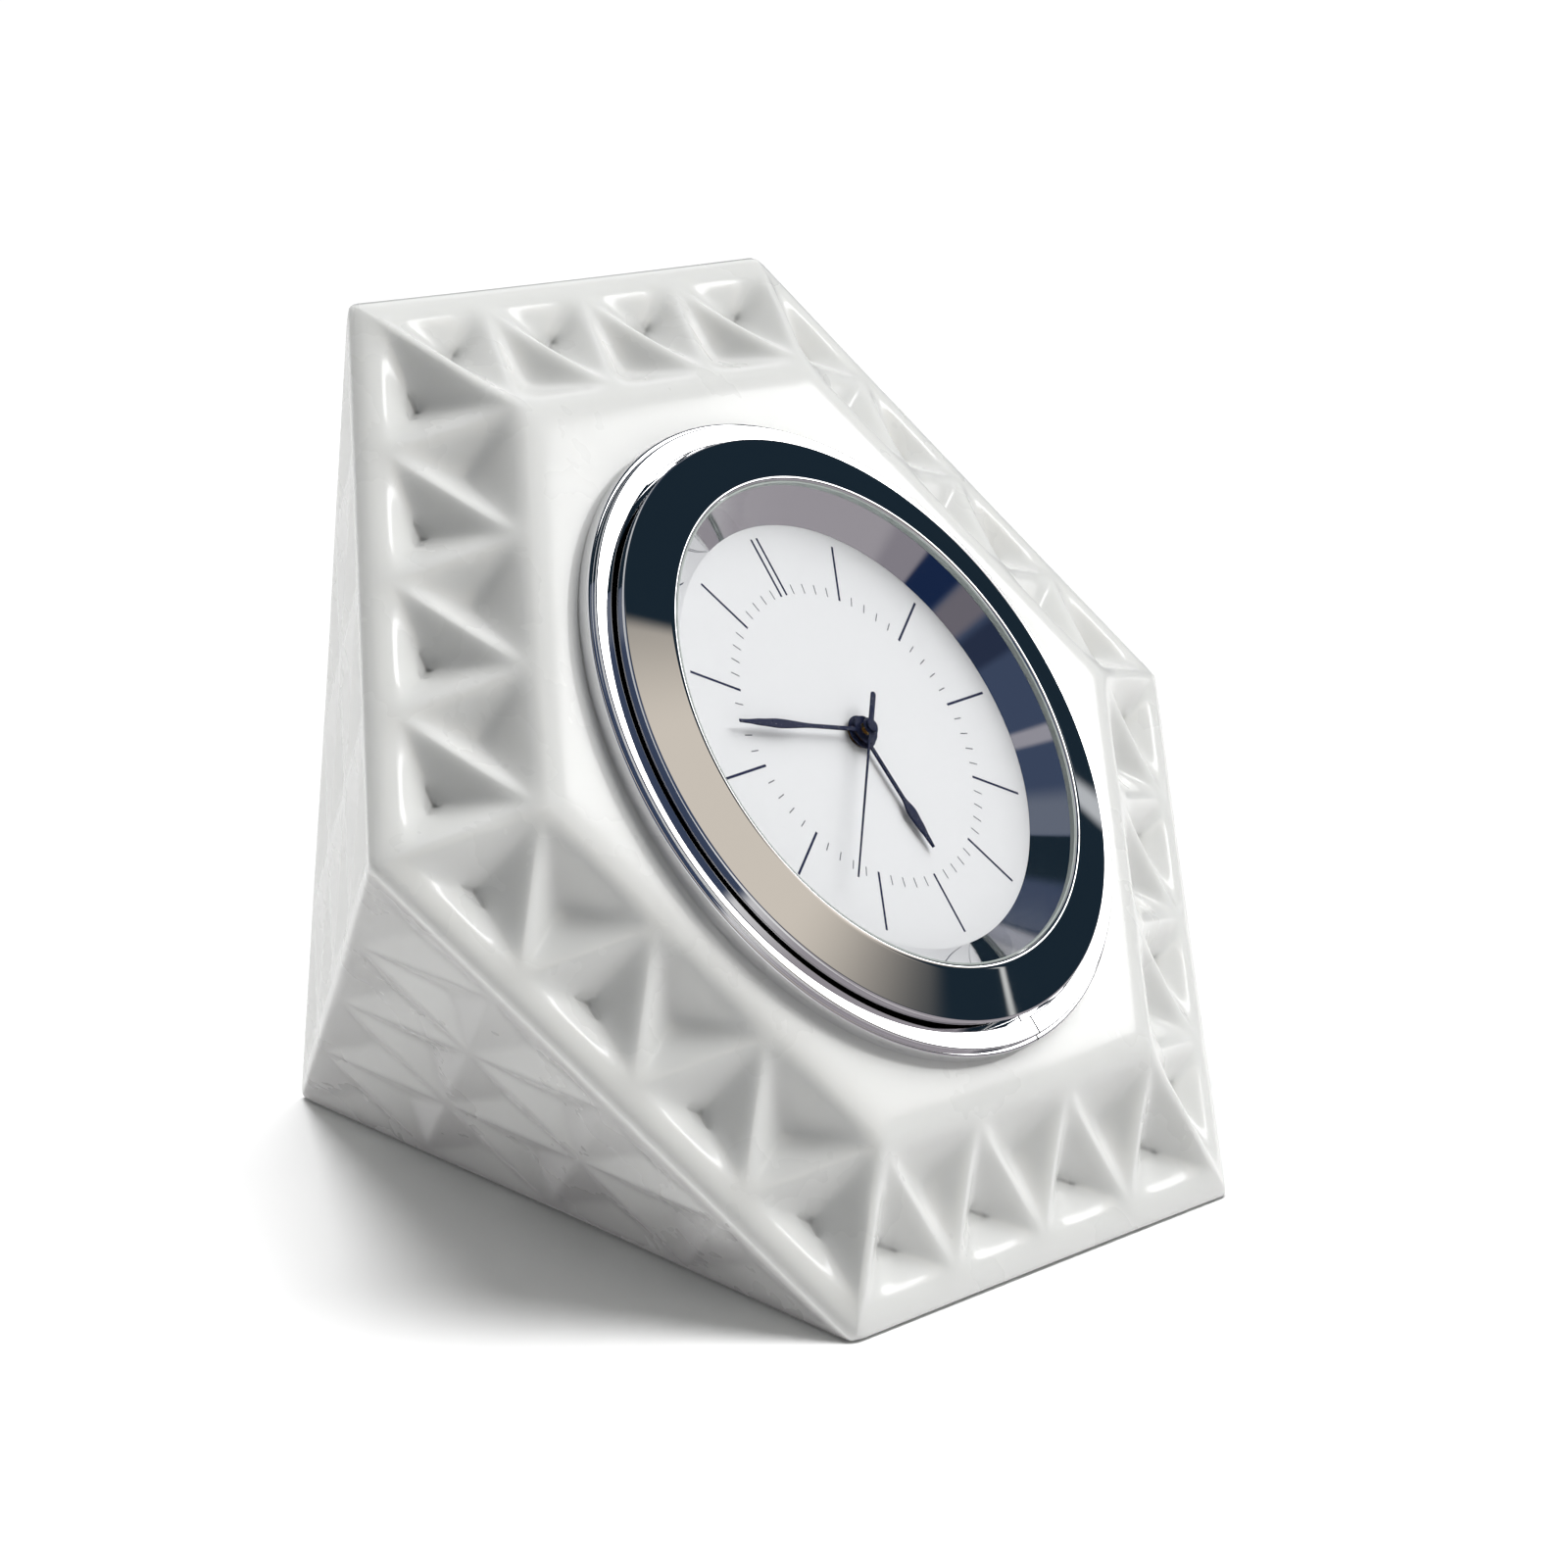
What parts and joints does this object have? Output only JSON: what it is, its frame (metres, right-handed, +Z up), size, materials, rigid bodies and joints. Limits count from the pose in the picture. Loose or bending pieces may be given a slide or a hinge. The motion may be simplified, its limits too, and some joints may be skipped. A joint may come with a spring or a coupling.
{
  "type": "mantel clock",
  "caption": "Faceted white porcelain mantel clock with a round quartz insert that slides out of its socket; hands, gear train, rear setting knob and battery hatch turn.",
  "frame": {"origin": "centre of the bounding box, on the table plane under the clock", "axes": "+Z up, the dial looks towards -Y and up, +X to the right of a person facing the dial"},
  "size_m": [0.135, 0.1038, 0.0966],
  "materials": {
    "glazed_porcelain": "glossy clear glaze over white porcelain",
    "polished_chrome": "mirror-polished plating",
    "dial_glass": "clear flat mineral glass",
    "clear_gasket": "translucent nylon",
    "dial_white": "satin white lacquer",
    "blued_hands": "glossy dark blue lacquer",
    "case_black": "fine moulded texture",
    "grip_rubber": "matte",
    "movement_plastic": "moulded ivory plastic",
    "wheel_brass": "satin",
    "wheel_plastic": "moulded",
    "steel": "satin",
    "magnet": "sintered dark grey",
    "copper_wire": "enamelled winding",
    "bobbin_plastic": "moulded",
    "board_green": "solder-masked laminate",
    "chip_black": "cured epoxy drop"
  },
  "bodies": {
    "porcelain": {"porcelain_body": "glazed_porcelain"},
    "insert": {"flange_ring": "polished_chrome", "bezel": "polished_chrome", "inner_bezel": "polished_chrome", "glass": "dial_glass", "glass_gasket": "clear_gasket", "dial": "dial_white", "case_cup": "case_black", "grip_ring": "grip_rubber", "movement_holder": "movement_plastic", "rear_cover": "case_black", "rear_cover_screws": "steel", "movement_front_plate": "movement_plastic", "train_bridge": "movement_plastic", "movement_back_case": "movement_plastic", "movement_screws": "steel", "stator": "steel", "coil_core": "steel", "coil_bobbin": "bobbin_plastic", "coil_winding": "copper_wire", "circuit_board": "board_green", "quartz_crystal": "steel", "chip_cover": "chip_black", "button_cell": "steel", "contact_negative": "wheel_brass", "contact_positive": "wheel_brass"},
    "second": {"second_hand": "blued_hands", "second_wheel": "wheel_brass"},
    "third": {"third_wheel": "wheel_brass"},
    "centre": {"centre_wheel": "wheel_brass"},
    "intermediate": {"intermediate_wheel": "wheel_plastic"},
    "rotor": {"rotor": "magnet"},
    "minute": {"minute_hand": "blued_hands", "cannon_pinion": "wheel_brass"},
    "motion": {"minute_wheel": "wheel_brass"},
    "hour": {"hour_hand": "blued_hands", "hour_wheel": "wheel_brass"},
    "knob": {"setting_knob": "case_black"},
    "hatch": {"battery_hatch": "case_black"}
  },
  "joints": [
    {"name": "insert_slide", "type": "slide", "parent": "porcelain", "child": "insert", "axis": [0, -0.8264, 0.5631], "range_m": [0, 0.03]},
    {"name": "second_spin", "type": "hinge", "parent": "insert", "child": "second", "pos_m": [0, -0.02003, 0.04804], "axis": [0, 0.8264, -0.5631], "continuous": true},
    {"name": "third_spin", "type": "hinge", "parent": "insert", "child": "third", "pos_m": [-0.00563, -0.02229, 0.04668], "axis": [0, 0.8264, -0.5631], "continuous": true},
    {"name": "centre_spin", "type": "hinge", "parent": "insert", "child": "centre", "pos_m": [0, -0.02184, 0.04928], "axis": [0, 0.8264, -0.5631], "continuous": true},
    {"name": "intermediate_spin", "type": "hinge", "parent": "insert", "child": "intermediate", "pos_m": [0.00535, -0.02073, 0.04524], "axis": [0, 0.8264, -0.5631], "continuous": true},
    {"name": "rotor_spin", "type": "hinge", "parent": "insert", "child": "rotor", "pos_m": [0.00764, -0.02395, 0.04317], "axis": [0, 0.8264, -0.5631], "continuous": true},
    {"name": "minute_spin", "type": "hinge", "parent": "insert", "child": "minute", "pos_m": [0, -0.02333, 0.05029], "axis": [0, 0.8264, -0.5631], "continuous": true},
    {"name": "motion_spin", "type": "hinge", "parent": "insert", "child": "motion", "pos_m": [-0.00027, -0.02052, 0.05442], "axis": [0, 0.8264, -0.5631], "continuous": true},
    {"name": "hour_spin", "type": "hinge", "parent": "insert", "child": "hour", "pos_m": [0, -0.02407, 0.0508], "axis": [0, 0.8264, -0.5631], "continuous": true},
    {"name": "knob_spin", "type": "hinge", "parent": "insert", "child": "knob", "pos_m": [0.00413, -0.01891, 0.05679], "axis": [0, 0.8264, -0.5631], "continuous": true},
    {"name": "hatch_turn", "type": "hinge", "parent": "insert", "child": "hatch", "pos_m": [-0.00997, -0.0103, 0.05167], "axis": [0, 0.8264, -0.5631], "range_deg": [0, 45]}
  ],
  "couplings": [
    {"joint": "third_spin", "follows": "second_spin", "ratio": -0.13333},
    {"joint": "centre_spin", "follows": "second_spin", "ratio": 0.016667},
    {"joint": "intermediate_spin", "follows": "second_spin", "ratio": -5},
    {"joint": "rotor_spin", "follows": "second_spin", "ratio": 30},
    {"joint": "motion_spin", "follows": "minute_spin", "ratio": -0.33333},
    {"joint": "hour_spin", "follows": "minute_spin", "ratio": 0.083333},
    {"joint": "knob_spin", "follows": "minute_spin", "ratio": 0.83333}
  ]
}
